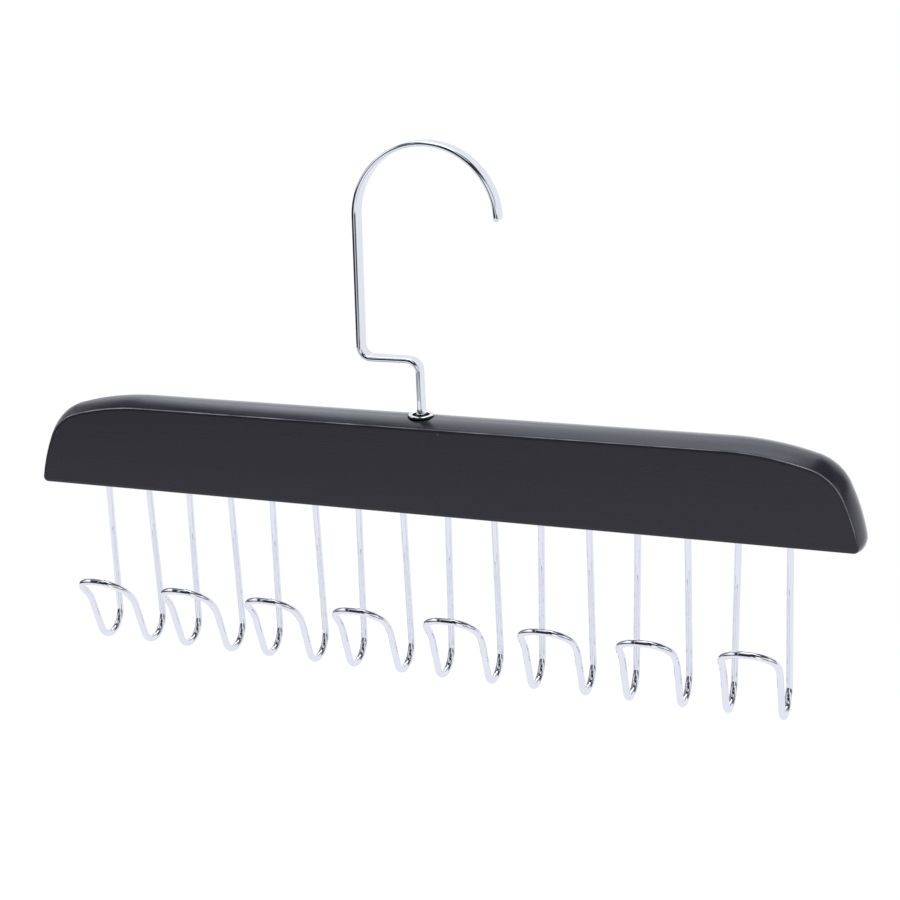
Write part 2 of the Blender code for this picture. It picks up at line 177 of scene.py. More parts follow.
def carve(piece: Object, tool: Object, carving: Carving = Carving.CUT) -> None:
    """Work on a piece with another one, which is used up.

    Args:
        piece: The object that stays.
        tool: The object that cuts it, trims it or is added to it.
        carving: Which of these it does.
    """
    modifier = piece.modifiers.new("carve", "BOOLEAN")
    modifier.operation = carving.value
    modifier.solver = "EXACT"
    modifier.object = tool
    apply_modifier(piece, "carve")
    bpy.data.objects.remove(tool, do_unlink=True)


def round_edges(piece: Object, width: float, degrees: float = 40.0, steps: int = 3) -> None:
    """Round every sharp edge of a piece.

    Args:
        piece: The object to bevel.
        width: The round's width.
        degrees: The angle above which an edge counts as sharp.
        steps: The round's number of facets.
    """
    modifier = piece.modifiers.new("round", "BEVEL")
    modifier.width = width
    modifier.segments = steps
    modifier.limit_method = "ANGLE"
    modifier.angle_limit = math.radians(degrees)
    modifier.use_clamp_overlap = True
    modifier.harden_normals = False
    apply_modifier(piece, "round")


def cylinder(name: str, radius: float, low: float, high: float, sides: int, x: float = 0.0) -> Object:
    """A closed upright cylinder over the underside's middle, for cutting or shaping.

    Args:
        name: The object's name.
        radius: Its radius.
        low: Height of its lower end above the underside.
        high: Height of its upper end.
        sides: Its number of sides.
        x: Its place along the bar, from the shank.

    Returns:
        The cylinder.
    """
    deselect_all()
    place = FOOT + RIGHT * x + UP * ((low + high) / 2)
    bpy.ops.mesh.primitive_cylinder_add(vertices=sides, radius=radius, depth=high - low, location=place)
    return named(name)


class Pen:
    """Draws in edit mode as by hand: what is selected is extruded straight and spun round bends.

    It starts from one vertex, which draws a line, or from a filled section, which draws a bar.
    """

    def __init__(self, name: str, start: Vector, heading: Vector) -> None:
        """Start at one vertex.

        Args:
            name: The drawn object's name.
            start: The first point, from the foot of the shank.
            heading: The direction to draw in.
        """
        deselect_all()
        bpy.ops.mesh.primitive_plane_add(size=1.0, location=FOOT + start)
        self.piece = named(name)
        self.place = FOOT + start
        self.heading = heading.normalized()
        bpy.ops.object.mode_set(mode="EDIT")
        bpy.ops.mesh.select_mode(type="VERT")
        bpy.ops.mesh.select_all(action="SELECT")
        bpy.ops.mesh.merge(type="CENTER")

    @classmethod
    def from_section(cls, section: Object, start: Vector, heading: Vector) -> "Pen":
        """Start at a filled section.

        Args:
            section: The object that is one face.
            start: The face's middle, from the foot of the shank.
            heading: The direction to draw in.

        Returns:
            The pen.
        """
        pen = cls.__new__(cls)
        pen.piece = section
        pen.place = FOOT + start
        pen.heading = heading.normalized()
        take(section)
        bpy.ops.object.mode_set(mode="EDIT")
        bpy.ops.mesh.select_mode(type="FACE")
        bpy.ops.mesh.select_all(action="SELECT")
        return pen

    def forward(self, length: float, pieces: int = 1) -> "Pen":
        """Draw straight on.

        Args:
            length: The run's length.
            pieces: How many pieces it has.

        Returns:
            The pen.
        """
        step = self.heading * (length / pieces)
        for _ in range(pieces):
            bpy.ops.mesh.extrude_region_move(TRANSFORM_OT_translate={"value": step})
        self.place = self.place + self.heading * length
        return self

    def to(self, point: Vector) -> "Pen":
        """Draw straight to a point given from the foot of the shank."""
        run = FOOT + point - self.place
        self.heading = run.normalized()
        return self.forward(run.length)

    def bend(self, towards: Vector, radius: float, angle: float, steps: int) -> "Pen":
        """Draw round a bend.

        Args:
            towards: The direction from the line to the bend's centre.
            radius: The bend's radius.
            angle: How far it turns, in radians.
            steps: How many pieces it has.

        Returns:
            The pen.
        """
        centre = self.place + towards.normalized() * radius
        axis = self.heading.cross(towards).normalized()
        bpy.ops.mesh.spin(steps=steps, angle=-angle, center=centre, axis=axis)
        turn = Matrix.Rotation(angle, 4, axis)
        self.place = centre + turn @ (self.place - centre)
        self.heading = (turn @ self.heading).normalized()
        return self

    def resize(self, x: float, y: float, z: float = 1.0) -> "Pen":
        """Resize what was drawn last."""
        bpy.ops.transform.resize(value=(x, y, z))
        return self

    def lift(self) -> Object:
        """Close edit mode and hand over what is drawn."""
        bpy.ops.object.mode_set(mode="OBJECT")
        return self.piece


def turned(name: str, profile: Sequence[tuple[float, float]], sides: int) -> Object:
    """Spin a closed profile round the shank's axis, as on a lathe.

    Args:
        name: The object's name.
        profile: Points of (radius, height above the underside).
        sides: The number of sides of the turned piece.

    Returns:
        The turned piece.
    """
    points = [Vector((radius, 0.0, height)) for radius, height in profile]
    pen = Pen(name, points[0], UP)
    for point in points[1:]:
        pen.to(point)
    pen.to(points[0])
    merge_doubles()
    bpy.ops.mesh.spin(steps=sides, angle=math.tau, center=FOOT, axis=UP)
    made = pen.lift()
    seal(made)
    return made


# Finishes

SMOOTH = {"interpolation_type": "SMOOTHSTEP"}
# A Mix node takes its share at socket 0, two levels at 2 and 3, and two colours at 6 and 7
LEVELS = {"data_type": "FLOAT"}
COLOURS = {"data_type": "RGBA"}
PRODUCT = {"operation": "MULTIPLY"}
PRODUCT_AND_SUM = {"operation": "MULTIPLY_ADD"}
GREATER = {"operation": "MAXIMUM"}


def linear(code: str) -> tuple[float, float, float, float]:
    """Turn an sRGB hex colour to linear light.

    Args:
        code: Six hex digits after a number sign.

    Returns:
        Red, green, blue and alpha.
    """
    shares = [int(code[i : i + 2], 16) / 255 for i in (1, 3, 5)]
    values = [s / 12.92 if s <= 0.04045 else ((s + 0.055) / 1.055) ** 2.4 for s in shares]
    return (values[0], values[1], values[2], 1.0)


def feed(tree: NodeTree, node: Node, inputs: dict[str | int, object]) -> None:
    """Give a node's inputs their values and links.

    Args:
        tree: The node tree.
        node: The node.
        inputs: A value or an output socket for each input, by name or number.
    """
    for name, value in inputs.items():
        if isinstance(value, NodeSocket):
            tree.links.new(value, node.inputs[name])
        else:
            node.inputs[name].default_value = value


def add_node(
    tree: NodeTree,
    kind: str,
    settings: dict[str, object] | None = None,
    inputs: dict[str | int, object] | None = None,
) -> Node:
    """Add one node with its settings, values and links.

    Args:
        tree: The node tree that gets it.
        kind: The shader node's type, without the words that all of them begin with.
        settings: Its own properties by name.
        inputs: A value or an output socket for each named input.

    Returns:
        The node.
    """
    node = tree.nodes.new(f"ShaderNode{kind}")
    for name, value in (settings or {}).items():
        setattr(node, name, value)
    feed(tree, node, inputs or {})
    return node


def span(
    value: NodeSocket, start: float, end: float, first: float = 0.0, last: float = 1.0
) -> dict[str, object]:
    """State a run of values, for a node that maps a range.

    Args:
        value: What the run follows.
        start: The value where it begins.
        end: The value where it is over, above or below start.
        first: What it gives at its start.
        last: What it gives at its end.

    Returns:
        The node's inputs.
    """
    if start > end:
        start, end, first, last = end, start, last, first
    return {"Value": value, "From Min": start, "From Max": end, "To Min": first, "To Max": last}


def within(
    tree: NodeTree, spans: Sequence[dict[str, object]], settings: dict[str, object] | None = None
) -> NodeSocket:
    """Multiply several runs of values into one share.

    Args:
        tree: The node tree.
        spans: The inputs of each run.
        settings: How the runs rise.

    Returns:
        The share.
    """
    share = None
    for inputs in spans:
        run = add_node(tree, "MapRange", settings, inputs).outputs["Result"]
        share = run if share is None else add_node(tree, "Math", PRODUCT, {0: share, 1: run}).outputs[0]
    return share


@dataclass(frozen=True)
class Finish:
    """What every finish states: its name, its colour and how it takes light."""

    name: str
    colour: str
    metallic: float
    roughness: float

    def blank(self) -> tuple[Material, NodeTree, Node, NodeSocket]:
        """Make a material with only its shader and coordinates.

        Returns:
            The material, its tree, its shader and its object coordinates.
        """
        material = bpy.data.materials.new(self.name)
        material.use_nodes = True
        tree = material.node_tree
        shader = tree.nodes["Principled BSDF"]
        looks = {"Base Color": linear(self.colour), "Metallic": self.metallic, "Roughness": self.roughness}
        feed(tree, shader, looks)
        where = add_node(tree, "TexCoord").outputs["Object"]
        return material, tree, shader, where


@dataclass(frozen=True)
class SatinLacquer(Finish):
    """Black satin lacquer sprayed on planed beech.

    Sprayed thin and rubbed down, it gives the eye a near black skin with a wide, soft gloss. Pores and growth
    lines show through faintly along the bar, a painted highlight of uneven strength runs along the top long
    edges, and a little dust has dried in.
    """

    name: str = "black_satin_lacquer_on_beech"
    colour: str = "#19171F"
    streak: str = "#1E1C23"
    speck: str = "#77777C"
    # Painted highlight along the top long edges, where the crisp edge catches the light
    painted_edge_highlight: str = "#77777D"
    metallic: float = 0.0
    roughness: float = 0.24
    ior: float = 1.47
    haze: float = 0.70
    haze_spread: float = 0.26
    # Pores are under a tenth of a millimetre wide, which is too fine to show, so the streaks are coarser
    streak_length: float = 0.026
    streak_width: float = 0.0007
    figure_length: float = 0.110
    figure_width: float = 0.0045
    figure_share: float = 0.45
    grain_limits: tuple[float, float] = (0.48, 1.0)
    pore_depth: float = 0.00004
    pore_strength: float = 0.12
    gloss_limits: tuple[float, float] = (0.3, 0.7)
    smoother: float = 0.04
    rougher: float = 0.05
    speck_pitch: float = 0.014
    speck_size: float = 0.00016
    speck_fade: float = 2.5
    speck_share: float = 0.35
    rub_length: float = 0.012
    rub_limits: tuple[float, float] = (0.35, 0.65)
    least_rubbed: float = 0.35
    # The normal's size across the bar where the painted edge highlight begins towards the crown and ends
    # towards the face
    crown_limits: tuple[float, float] = (0.62, 0.76)
    face_limits: tuple[float, float] = (0.97, 0.88)
    # The normal's height, which keeps the painted edge highlight off the underside
    top_limits: tuple[float, float] = (0.0, 0.2)

    def grain(
        self, tree: NodeTree, where: NodeSocket
    ) -> tuple[NodeSocket, NodeSocket]:
        """Lay the wide figure and the fine streaks along the bar.

        Args:
            tree: The material's tree.
            where: Its object coordinates.

        Returns:
            The streaks, and both patterns added up.
        """
        patterns = []
        for length, width, strength in (
            (self.figure_length, self.figure_width, {"Detail": 3.0, "Distortion": 0.6}),
            (self.streak_length, self.streak_width, {"Detail": 4.0, "Roughness": 0.6}),
        ):
            scale = (1 / length, 1 / width, 1 / width)
            place = add_node(tree, "Mapping", inputs={"Vector": where, "Scale": scale}).outputs[0]
            noise = add_node(tree, "TexNoise", inputs={"Vector": place, "Scale": 1.0, **strength})
            patterns.append(noise.outputs["Fac"])
        figure, streaks = patterns
        inputs = {0: figure, 1: self.figure_share, 2: streaks}
        return streaks, add_node(tree, "Math", PRODUCT_AND_SUM, inputs).outputs[0]

    def dust(self, tree: NodeTree, where: NodeSocket) -> NodeSocket:
        """Settle a few pale specks in the wet lacquer.

        Args:
            tree: The material's tree.
            where: Its object coordinates.

        Returns:
            The specks' share of the colour.
        """
        cells = add_node(tree, "TexVoronoi", inputs={"Vector": where, "Scale": 1 / self.speck_pitch})
        size = self.speck_size / self.speck_pitch
        near = cells.outputs["Distance"]
        return within(tree, [span(near, size, self.speck_fade * size, self.speck_share, 0.0)])

    def edge_highlight(self, tree: NodeTree, where: NodeSocket) -> NodeSocket:
        """Paint a pale highlight along the top long edges, broken up by noise so that it is stronger in some
        places than in others.

        Args:
            tree: The material's tree.
            where: Its object coordinates.

        Returns:
            The painted highlight's share of the colour.
        """
        normal = add_node(tree, "TexCoord").outputs["Normal"]
        facing = add_node(tree, "SeparateXYZ", inputs={0: normal}).outputs
        across = add_node(tree, "Math", {"operation": "ABSOLUTE"}, {0: facing["Y"]}).outputs[0]
        rubs = {"Vector": where, "Scale": 1 / self.rub_length, "Detail": 3.0}
        rubbed = add_node(tree, "TexNoise", inputs=rubs).outputs["Fac"]
        spans = [
            span(across, *self.crown_limits),
            span(across, *self.face_limits),
            span(facing["Z"], *self.top_limits),
            span(rubbed, *self.rub_limits, self.least_rubbed),
        ]
        return within(tree, spans)

    def make(self) -> Material:
        """Build the material.

        Returns:
            The finished material.
        """
        material, tree, shader, where = self.blank()
        feed(tree, shader, {"IOR": self.ior, "Sheen Weight": self.haze, "Sheen Roughness": self.haze_spread})
        streaks, both = self.grain(tree, where)
        shares = (
            (within(tree, [span(both, *self.grain_limits)]), self.streak),
            (self.dust(tree, where), self.speck),
            # The pale band along the top edges is a painted highlight
            (self.edge_highlight(tree, where), self.painted_edge_highlight),
        )
        colour = linear(self.colour)
        for share, code in shares:
            colour = add_node(tree, "Mix", COLOURS, {0: share, 6: colour, 7: linear(code)}).outputs[2]
        least, most = self.roughness - self.smoother, self.roughness + self.rougher
        gloss = within(tree, [span(streaks, *self.gloss_limits, least, most)])
        depths = {"Strength": self.pore_strength, "Distance": self.pore_depth, "Height": both}
        pores = add_node(tree, "Bump", inputs=depths).outputs["Normal"]
        feed(tree, shader, {"Base Color": colour, "Roughness": gloss, "Normal": pores})
        return material


@dataclass(frozen=True)
class BrightChrome(Finish):
    """Bright chromium plated over nickel on polished metal.

    Polishing before and after plating gives the eye a cool mirror. Faint marks blur it here and there, and
    slow ripples from the forming bend what it shows.
    """

    name: str = "bright_chromed_steel"
    colour: str = "#E9EDED"
    metallic: float = 1.0
    roughness: float = 0.015
    spread: float = 0.02
    # Polishing marks are a few hundredths of a millimetre wide, too fine to show, so they are coarser
    mark: float = 0.0006
    mark_limits: tuple[float, float] = (0.35, 0.75)
    ripple: float = 0.009
    ripple_height: float = 0.00001
    ripple_strength: float = 0.5
    # Painted shade: what a side that doesn't face up keeps of its colour, and the normal's height where the
    # darkening starts and ends
    painted_shade_share: float = 1.0
    painted_shade_limits: tuple[float, float] = (0.45, 0.80)

    def make(self) -> Material:
        """Build the material.

        Returns:
            The finished material.
        """
        material, tree, shader, where = self.blank()
        polish = {"Vector": where, "Scale": 1 / self.mark, "Detail": 3.0, "Roughness": 0.6}
        marks = add_node(tree, "TexNoise", inputs=polish).outputs["Fac"]
        gloss = within(tree, [span(marks, *self.mark_limits, self.roughness, self.roughness + self.spread)])
        forming = {"Vector": where, "Scale": 1 / self.ripple, "Detail": 1.0}
        ripples = add_node(tree, "TexNoise", inputs=forming).outputs["Fac"]
        heights = {"Strength": self.ripple_strength, "Distance": self.ripple_height, "Height": ripples}
        waves = add_node(tree, "Bump", inputs=heights).outputs["Normal"]
        feed(tree, shader, {"Roughness": gloss, "Normal": waves})
        # Painted shade: sides that don't face up are darkened in the base colour, standing in for the dark
        # bar that they mirror
        if self.painted_shade_share < 1.0:
            facing = add_node(tree, "TexCoord").outputs["Normal"]
            upward = add_node(tree, "SeparateXYZ", inputs={0: facing}).outputs["Z"]
            share = within(tree, [span(upward, *self.painted_shade_limits, self.painted_shade_share)], SMOOTH)
            plate = {0: 1.0, 6: linear(self.colour), 7: share}
            plated = add_node(tree, "Mix", {"blend_type": "MULTIPLY", **COLOURS}, plate).outputs[2]
            feed(tree, shader, {"Base Color": plated})
        return material


@dataclass(frozen=True)
class ZincPlate(Finish):
    """Bright zinc plated on a pressed steel fastener.

    Plated in a barrel with many others, it gives the eye a dull grey shine with small clouds.
    """

    name: str = "zinc_plated_steel"
    colour: str = "#B9BBB8"
    cloudy: str = "#A3A5A0"
    metallic: float = 1.0
    roughness: float = 0.28
    cloud: float = 0.0016
    gloss_limits: tuple[float, float] = (0.3, 0.7)
    smoothest: float = 0.22
    roughest: float = 0.38

    def make(self) -> Material:
        """Build the material.

        Returns:
            The finished material.
        """
        material, tree, shader, where = self.blank()
        sizes = {"Vector": where, "Scale": 1 / self.cloud, "Detail": 4.0}
        clouds = add_node(tree, "TexNoise", inputs=sizes).outputs["Fac"]
        tints = {0: clouds, 6: linear(self.colour), 7: linear(self.cloudy)}
        tint = add_node(tree, "Mix", COLOURS, tints).outputs[2]
        gloss = within(tree, [span(clouds, *self.gloss_limits, self.smoothest, self.roughest)])
        feed(tree, shader, {"Base Color": tint, "Roughness": gloss})
        return material


@dataclass(frozen=True)
class Nylon(Finish):
    """Natural nylon, moulded.

    The mould leaves it smooth but not polished, so it gives the eye a waxy off-white without a sharp
    highlight.
    """

    name: str = "natural_moulded_nylon"
    colour: str = "#D8D6CB"
    mottled: str = "#C9C6B8"
    metallic: float = 0.0
    roughness: float = 0.45
    ior: float = 1.53
    mottle: float = 0.0009

    def make(self) -> Material:
        """Build the material.

        Returns:
            The finished material.
        """
        material, tree, shader, where = self.blank()
        sizes = {"Vector": where, "Scale": 1 / self.mottle, "Detail": 2.0}
        mottle = add_node(tree, "TexNoise", inputs=sizes).outputs["Fac"]
        tints = {0: mottle, 6: linear(self.colour), 7: linear(self.mottled)}
        tint = add_node(tree, "Mix", COLOURS, tints).outputs[2]
        feed(tree, shader, {"Base Color": tint, "IOR": self.ior})
        return material


def dress(piece: Object, material: Material, body: Body, *nodes: str) -> None:
    """Give a finished piece its material, its body and the solids that it stands for.

    Args:
        piece: The finished object.
        material: Its finish.
        body: What it rides on.
        nodes: The solids that it replaces.
    """
    piece.data.materials.clear()
    piece.data.materials.append(material)
    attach(piece, body.value)
    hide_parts(*nodes)
    log.info("%s: %d faces", piece.name, len(piece.data.polygons))


# The wooden bar


@dataclass
class WoodenBar:
    """The lacquered bar: flat front and back, crowned top and ends, drilled underneath."""

    half_length: float = 0.1771
    height: float = 0.0367
    thickness: float = 0.0200
    crown_top: float = 0.0024
    crown_end: float = 0.0019
    crown_swell: float = 0.0010
    crown_power: float = 1.9
    corner_radius: float = 0.0203
    shoulder_radius: float = 0.1170
    foot_radius: float = 0.0018
    end_lean: float = math.radians(10.4)
    corner_start: float = math.radians(25.4)
    corner_end: float = math.radians(73.6)
    edge_round: float = 0.0005
    eased_rim: float = 0.0015
    # A face whose normal lies this much across the bar is its front or back
    flat_normal: float = 0.999
    levels: int = 20
    leg_pitch: float = 0.0200
    leg_count: int = 16
    leg_hole: float = 0.0031
    leg_depth: float = 0.0163
    counterbore: float = 0.0058
    counterbore_depth: float = 0.0084
    shank_bore: float = 0.0026
    shank_bore_low: float = 0.0080
    sleeve_bore: float = 0.0037
    sleeve_bore_low: float = 0.0299
    eyelet_seat: float = 0.00552
    eyelet_seat_low: float = 0.0379
    # Where cutters end that come out of the top, and how far the others stand out of the underside
    drill_top: float = 0.0420
    overrun: float = 0.001
    finish: SatinLacquer = field(default_factory=SatinLacquer)

    def outline(self) -> Object:
        """Draw the front's outline at the front face and fill it.

        Returns:
            One flat face with the bar's outline.
        """
        rise = self.corner_radius * (math.sin(self.corner_end) - math.sin(self.corner_start))
        end_height = self.height - rise - self.shoulder_radius * (1 - math.sin(self.corner_end))
        end_radius = end_height / (math.sin(self.corner_start) - math.sin(self.end_lean))
        centre_x = self.half_length - end_radius * math.cos(self.end_lean)
        centre_z = -end_radius * math.sin(self.end_lean)
        reach = end_radius - self.foot_radius
        drop = self.foot_radius - centre_z
        foot_x = centre_x + math.sqrt(reach * reach - drop * drop)
        meets = math.atan2(drop, foot_x - centre_x)
        bends = [
            (self.foot_radius, math.pi / 2 + meets, 8),
            (end_radius, self.corner_start - meets, 14),
            (self.corner_radius, self.corner_end - self.corner_start, 20),
            (self.shoulder_radius, math.pi / 2 - self.corner_end, 20),
        ]
        start = Vector((0.0, -self.thickness / 2, 0.0))
        pen = Pen("bar_lacquered", start, RIGHT).forward(foot_x)
        for radius, sweep, steps in bends:
            pen.bend(FORWARD.cross(pen.heading), radius, sweep, steps)
        pen.forward(2 * (pen.place.x - FOOT.x), 2)
        for radius, sweep, steps in reversed(bends):
            pen.bend(FORWARD.cross(pen.heading), radius, sweep, steps)
        pen.forward(foot_x)
        merge_doubles()
        bpy.ops.mesh.edge_face_add()
        return pen.lift()

    def crown_share(self, vertex: MeshVertex) -> float:
        """Tell how far the crown lifts a point of the skin, as a share of the highest lift.

        Args:
            vertex: A vertex of the uncrowned bar.

        Returns:
            From 0 on the faces and the underside to 1.
        """
        up = max(vertex.normal.z, 0.0)
        side = abs(vertex.normal.x)
        length = math.hypot(up, side) or 1.0
        up, side = up / length, side / length
        lift = self.crown_top * up * up + self.crown_end * side * side + 2 * self.crown_swell * up * side
        depth = abs(2 * vertex.co.y / self.thickness)
        return max(lift * (1 - depth**self.crown_power), 0.0) / self.highest()

    def highest(self) -> float:
        """The highest lift that the crown has anywhere."""
        return self.crown_top + self.crown_end + self.crown_swell

    def body(self) -> Object:
        """Extrude the outline through the bar's thickness and raise its crown.

        Returns:
            The bar without its holes.
        """
        bar = self.outline()
        step = BACK * (self.thickness / self.levels)
        with editing(bar):
            bpy.ops.mesh.select_mode(type="FACE")
            bpy.ops.mesh.select_all(action="SELECT")
            for _ in range(self.levels):
                bpy.ops.mesh.extrude_region_move(TRANSFORM_OT_translate={"value": step})
            bpy.ops.mesh.select_all(action="SELECT")
            bpy.ops.mesh.normals_make_consistent(inside=False)
            pick_faces(lambda face: abs(face.normal.y) > self.flat_normal)
            bpy.ops.mesh.inset(thickness=self.eased_rim, use_individual=True)
        group = bar.vertex_groups.new(name="crown")
        for vertex in bar.data.vertices:
            group.add([vertex.index], self.crown_share(vertex), "REPLACE")
        crown = bar.modifiers.new("crown", "DISPLACE")
        crown.vertex_group = "crown"
        crown.direction = "NORMAL"
        crown.mid_level = 0.0
        crown.strength = self.highest()
        apply_modifier(bar, "crown")
        bar.vertex_groups.clear()
        round_edges(bar, self.edge_round, degrees=50.0, steps=4)
        return bar

    def drill(self, bar: Object) -> None:
        """Drill the leg holes, the shank's bore, its counterbore and the eyelet's seat.

        Args:
            bar: The bar to drill.
        """
        first = -(self.leg_count - 1) / 2 * self.leg_pitch
        for leg in range(self.leg_count):
            x = first + leg * self.leg_pitch
            carve(bar, cylinder("leg_hole", self.leg_hole / 2, -self.overrun, self.leg_depth, 24, x))
        bores = (
            ("counterbore", self.counterbore, -self.overrun, self.counterbore_depth, 48),
            ("shank_bore", self.shank_bore, self.shank_bore_low, self.drill_top, 32),
            ("sleeve_bore", self.sleeve_bore, self.sleeve_bore_low, self.drill_top, 32),
            ("eyelet_seat", self.eyelet_seat, self.eyelet_seat_low, self.drill_top, 64),
        )
        for name, radius, low, high, sides in bores:
            carve(bar, cylinder(name, radius, low, high, sides))

    def build(self) -> None:
        """Build and dress the bar."""
        bar = self.body()
        self.drill(bar)
        seal(bar)
        smooth(bar, 30.0)
        dress(bar, self.finish.make(), Body.BAR, "wooden_bar")


# The swivel hook


@dataclass
class SwivelHook:
    """The chromed hook: a threaded round shank, flattened to a strip, with a stepped neck and an arch."""

    shank_radius: float = 0.0023
    thread_radius: float = 0.0020
    thread_root: float = 0.0017
    thread_pitch: float = 0.0007
    thread_low: float = 0.0010
    shoulder: float = 0.0084
    flatten_low: float = 0.0380
    flatten_high: float = 0.0428
    width: float = 0.0075
    strip: float = 0.0019
    stub_width: float = 0.0064
    edge_radius: float = 0.00092
    border: float = 0.00015
    shift: float = 0.00045
    neck_height: float = 0.0625
    neck_bend: float = 0.0049
    neck_offset: float = 0.0246
    arch_offset: float = 0.0061
    arch_height: float = 0.1196
    arch_radius: float = 0.0296
    tip_angle: float = math.radians(2.2)
    # The tip's last two steps: each one's length as a share of the strip's thickness, and how it narrows
    tip_shares: tuple[tuple[float, tuple[float, float, float]], ...] = (
        (1 / 4, (0.90, 0.965, 0.90)),
        (1 / 6, (0.72, 0.90, 0.90)),
    )
    # What an edge's run across the strip is of the flats' width at least, where its face is on a flat
    flat_share: float = 0.9
    # The thread's turn, as shares of its pitch: each flank, the crest and the root
    flank_share: float = 0.40
    crest_share: float = 0.12
    root_share: float = 0.08
    lead_in: float = 0.0002
    corner_steps: int = 9
    bend_steps: int = 14
    arch_steps: int = 96
    stub_pieces: int = 4
    neck_pieces: int = 8
    stem_pieces: int = 12
    shank_pieces: int = 4
    flattening_cuts: int = 9
    flattening_ease: float = 0.8
    finish: BrightChrome = field(default_factory=lambda: BrightChrome(name="bright_chromed_steel_strip"))

    def section(self) -> Object:
        """A filled rounded rectangle, thin along X and wide along Y, where the strip begins.

        Returns:
            One face.
        """
        deselect_all()
        place = FOOT + RIGHT * self.shift + UP * self.flatten_high
        bpy.ops.mesh.primitive_plane_add(size=1.0, location=place)
        bpy.context.object.scale = (self.strip, self.stub_width, 1.0)
        face = named("hook_strip")
        with editing(face):
            bpy.ops.mesh.select_all(action="SELECT")
            bpy.ops.mesh.bevel(offset=self.edge_radius, segments=self.corner_steps, affect="VERTICES")
        return face

    def is_flat(self, face: BMFace) -> bool:
        """Tell whether a face lies on one of the strip's two flats.

        Args:
            face: A face of the strip.

        Returns:
            Whether it has four sides, one of them right across the flat.
        """
        widest = self.stub_width - 2 * self.edge_radius
        across = max(abs(edge.verts[0].co.y - edge.verts[1].co.y) for edge in face.edges)
        return len(face.verts) == 4 and across > self.flat_share * widest

    def bent_strip(self) -> Object:
        """Draw the strip through the neck's two bends and round the arch.

        Returns:
            The strip, closed at both ends.
        """
        pen = Pen.from_section(self.section(), RIGHT * self.shift + UP * self.flatten_high, UP)
        pen.forward(self.neck_height - self.neck_bend - self.flatten_high, self.stub_pieces)
        pen.bend(LEFT, self.neck_bend, math.pi / 2, self.bend_steps)
        step = (self.neck_offset + self.shift - 2 * self.neck_bend) / self.neck_pieces
        widening = (self.width / self.stub_width) ** (1 / (self.neck_pieces - 2))
        pen.forward(step)
        for _ in range(self.neck_pieces - 2):
            pen.forward(step).resize(1.0, widening)
        pen.forward(step)
        across = self.arch_offset + self.neck_offset - self.neck_bend
        rise = self.arch_height - self.neck_height - self.neck_bend
        reach = math.hypot(across, rise)
        lean = math.acos((self.arch_radius - self.neck_bend) / reach) - math.atan2(rise, across)
        pen.bend(UP, self.neck_bend, math.pi / 2 + lean, self.bend_steps)
        pen.forward(across * math.sin(lean) + rise * math.cos(lean), self.stem_pieces)
        sweep = math.pi - lean - self.tip_angle
        pen.bend(pen.heading.cross(FORWARD), self.arch_radius, sweep, self.arch_steps)
        for length, narrowing in self.tip_shares:
            pen.forward(self.strip * length).resize(*narrowing)
        pick_faces(self.is_flat)
        bpy.ops.mesh.inset(thickness=self.border, depth=0.0, use_even_offset=True)
        return pen.lift()

    def shank(self) -> Object:
        """Draw the round shank with its thread from below.

        Returns:
            The shank, closed at both ends.
        """
        sides = 4 * (self.corner_steps + 1)
        start = self.thread_root - self.lead_in
        deselect_all()
        place = FOOT + UP * self.thread_low
        bpy.ops.mesh.primitive_circle_add(vertices=sides, radius=start, fill_type="NGON", location=place)
        face = named("shank")
        with editing(face):
            bpy.ops.mesh.select_all(action="SELECT")
            bpy.ops.transform.rotate(value=math.pi / sides, orient_axis="Z", center_override=FOOT)
        pen = Pen.from_section(face, UP * self.thread_low, UP)
        pen.forward(self.lead_in).resize(self.thread_root / start, self.thread_root / start)
        turns = int((self.shoulder - self.thread_low) / self.thread_pitch)
        crest = self.thread_radius / self.thread_root
        for _ in range(turns):
            pen.forward(self.thread_pitch * self.flank_share).resize(crest, crest)
            pen.forward(self.thread_pitch * self.crest_share)
            pen.forward(self.thread_pitch * self.flank_share).resize(1 / crest, 1 / crest)
            pen.forward(self.thread_pitch * self.root_share)
        pen.forward(FOOT.z + self.shoulder - pen.place.z)
        # The shoulder above the thread: a ring drawn in place and widened
        grow = self.shank_radius / self.thread_root
        pen.forward(0.0).resize(grow, grow)
        pen.forward(self.flatten_low - self.shoulder, self.shank_pieces)
        return pen.lift()

    def is_end(self, face: BMFace) -> bool:
        """Tell whether a face closes the shank's top or the strip's start.

        Args:
            face: A face of the hook.

        Returns:
            Whether it is a many-sided face at one of these heights.
        """
        heights = (FOOT.z + self.flatten_low, FOOT.z + self.flatten_high)
        level = all(min(abs(vertex.co.z - height) for height in heights) < MERGE for vertex in face.verts)
        return level and len(face.verts) > 4

    def join(self, shank: Object, strip: Object) -> Object:
        """Bridge the shank's top ring to the strip's first one, where the rod was flattened.

        Args:
            shank: The round part.
            strip: The flat part.

        Returns:
            One closed hook.
        """
        take(strip)
        shank.select_set(True)
        bpy.ops.object.join()
        with editing(strip):
            pick_faces(self.is_end)
            bpy.ops.mesh.bridge_edge_loops(
                type="PAIRS",
                number_cuts=self.flattening_cuts,
                interpolation="PATH",
                smoothness=self.flattening_ease,
            )
        return strip

    def build(self) -> None:
        """Build and dress the hook."""
        hook = self.join(self.shank(), self.bent_strip())
        seal(hook)
        smooth(hook, 35.0)
        dress(hook, self.finish.make(), Body.HOOK, "swivel_hook")


# The eyelet and the fasteners


